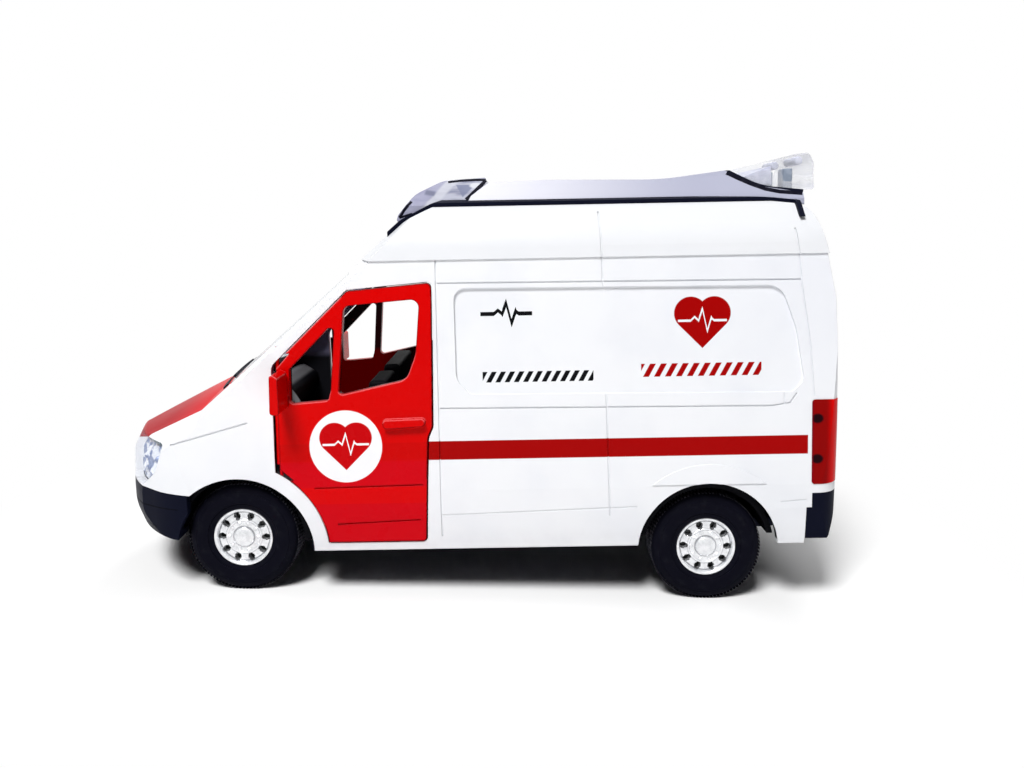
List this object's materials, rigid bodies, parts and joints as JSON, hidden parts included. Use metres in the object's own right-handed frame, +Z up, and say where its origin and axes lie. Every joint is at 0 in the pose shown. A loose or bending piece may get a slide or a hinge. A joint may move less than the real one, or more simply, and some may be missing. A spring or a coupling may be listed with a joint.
{
  "type": "toy ambulance van",
  "caption": "Die-cast toy ambulance van with a high roof, roof light unit, opening cab doors, opening rear doors and rolling wheels.",
  "frame": {"origin": "on the floor under the middle of the van, half-way between its foremost and rearmost points", "axes": "+X along the van towards its tail, so the nose points along -X; +Y to the van's right-hand side; +Z up; the wheels stand on Z = 0"},
  "size_m": [0.1562, 0.068, 0.0953],
  "materials": {
    "white_paint": "gloss white stove enamel on die-cast zinc",
    "white_plastic": "gloss white moulded plastic",
    "red_paint": "gloss red stove enamel on die-cast zinc",
    "clear": "clear moulded polystyrene",
    "red_lens": "translucent red moulded plastic",
    "black_plastic": "satin black moulded plastic",
    "grey_plastic": "silver-grey moulded plastic",
    "silver": "vacuum-plated silver",
    "steel": "bright steel wire",
    "tyre": "soft black rubber"
  },
  "bodies": {
    "van": {"base_plate": "black_plastic", "body_shell": "white_paint", "dashboard": "black_plastic", "door_pin_left": "steel", "door_pin_right": "steel", "driver_seat": "black_plastic", "front_bumper": "black_plastic", "grille": "black_plastic", "head_lamp_left": "clear", "head_lamp_right": "clear", "interior_tub": "black_plastic", "light_base": "black_plastic", "light_cover": "grey_plastic", "light_front_lens": "clear", "light_rear_lens": "clear", "light_trim": "black_plastic", "passenger_seat": "black_plastic", "rear_bumper": "black_plastic", "rear_pin_left": "steel", "rear_pin_right": "steel", "roof_cap": "white_plastic", "roof_marker_left": "red_lens", "roof_marker_right": "red_lens", "steering_wheel": "black_plastic", "tail_lamp_left": "red_lens", "tail_lamp_right": "red_lens", "windscreen": "clear"},
    "front_wheels": {"front_axle": "steel", "front_rim_left": "silver", "front_rim_right": "silver", "front_tyre_left": "tyre", "front_tyre_right": "tyre"},
    "rear_wheels": {"rear_axle": "steel", "rear_rim_left": "silver", "rear_rim_right": "silver", "rear_tyre_left": "tyre", "rear_tyre_right": "tyre"},
    "front_door_left": {"front_door_left": "red_paint"},
    "front_door_right": {"front_door_right": "red_paint"},
    "rear_door_left": {"rear_door_left": "white_paint", "rear_window_left": "clear"},
    "rear_door_right": {"rear_door_right": "white_paint", "rear_window_right": "clear"}
  },
  "joints": [
    {"name": "front_wheels_roll", "type": "hinge", "parent": "van", "child": "front_wheels", "pos_m": [-0.04712, 0, 0.0117], "axis": [0, 1, 0], "continuous": true},
    {"name": "rear_wheels_roll", "type": "hinge", "parent": "van", "child": "rear_wheels", "pos_m": [0.05106, 0, 0.0117], "axis": [0, 1, 0], "continuous": true},
    {"name": "front_door_left_swing", "type": "hinge", "parent": "van", "child": "front_door_left", "pos_m": [-0.03894, -0.02597, 0.04238], "axis": [0.0383, -0.0587, -0.9975], "range_deg": [0, 60]},
    {"name": "front_door_right_swing", "type": "hinge", "parent": "van", "child": "front_door_right", "pos_m": [-0.03894, 0.02597, 0.04238], "axis": [-0.0383, -0.0587, 0.9975], "range_deg": [0, 60]},
    {"name": "rear_door_left_swing", "type": "hinge", "parent": "van", "child": "rear_door_left", "pos_m": [0.07525, -0.02045, 0.04676], "axis": [0.0823, 0, -0.9966], "range_deg": [0, 90]},
    {"name": "rear_door_right_swing", "type": "hinge", "parent": "van", "child": "rear_door_right", "pos_m": [0.07525, 0.02045, 0.04676], "axis": [-0.0823, 0, 0.9966], "range_deg": [0, 90]}
  ]
}
